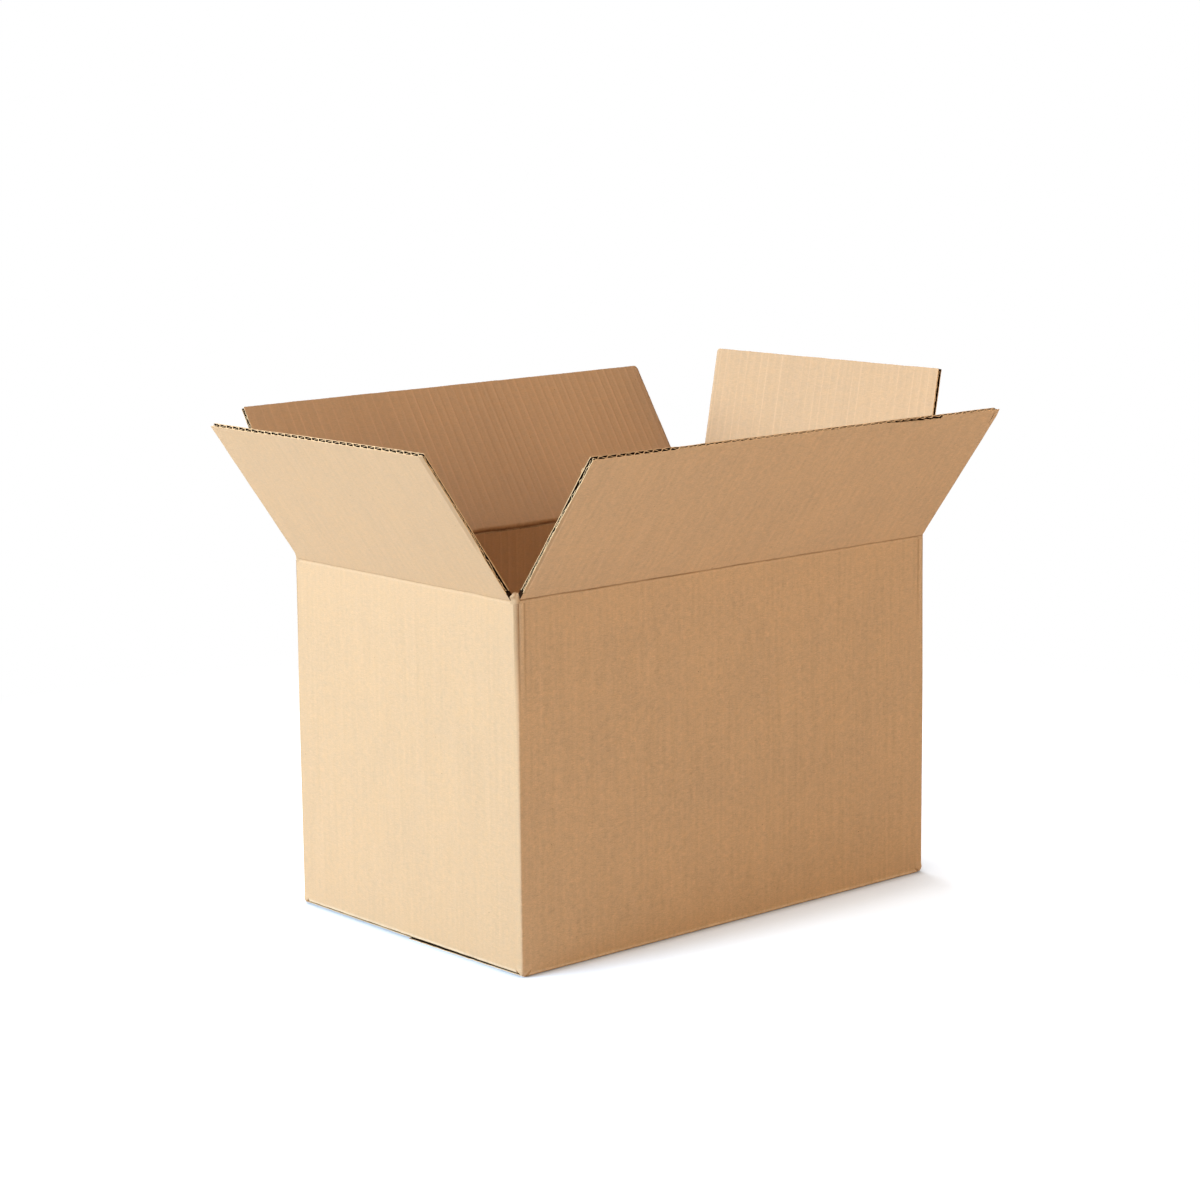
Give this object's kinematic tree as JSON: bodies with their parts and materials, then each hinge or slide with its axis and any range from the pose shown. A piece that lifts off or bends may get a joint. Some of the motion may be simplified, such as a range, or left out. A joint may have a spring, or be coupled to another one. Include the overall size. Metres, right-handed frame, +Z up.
{
  "type": "open cardboard box",
  "caption": "Open slotted carton of plain brown corrugated board, glued shut below, with hinged top flaps that lean outward.",
  "frame": {"origin": "middle of the bottom face, on the surface that the box stands on", "axes": "+Z up, +X along the long walls towards the flap that leans least, +Y along the short walls away from the front long wall"},
  "size_m": [0.3952, 0.3177, 0.3077],
  "materials": {
    "kraft_board": "matte unbleached kraft liner with faint flute lines, paler at the cut edges"
  },
  "bodies": {
    "box": {"box_body": "kraft_board"},
    "front_flap": {"front_flap": "kraft_board"},
    "back_flap": {"back_flap": "kraft_board"},
    "left_flap": {"left_flap": "kraft_board"},
    "right_flap": {"right_flap": "kraft_board"}
  },
  "joints": [
    {"name": "front_fold", "type": "hinge", "parent": "box", "child": "front_flap", "pos_m": [0, -0.102, 0.21029], "axis": [1, 0, 0], "range_deg": [-127.1, 122.9]},
    {"name": "back_fold", "type": "hinge", "parent": "box", "child": "back_flap", "pos_m": [0, 0.102, 0.21036], "axis": [-1, 0, 0], "range_deg": [-121.5, 128.5]},
    {"name": "left_fold", "type": "hinge", "parent": "box", "child": "left_flap", "pos_m": [-0.159, 0, 0.20805], "axis": [0, -1, 0], "range_deg": [-125, 125]},
    {"name": "right_fold", "type": "hinge", "parent": "box", "child": "right_flap", "pos_m": [0.159, 0, 0.20805], "axis": [0, 1, 0], "range_deg": [-101, 149]}
  ]
}
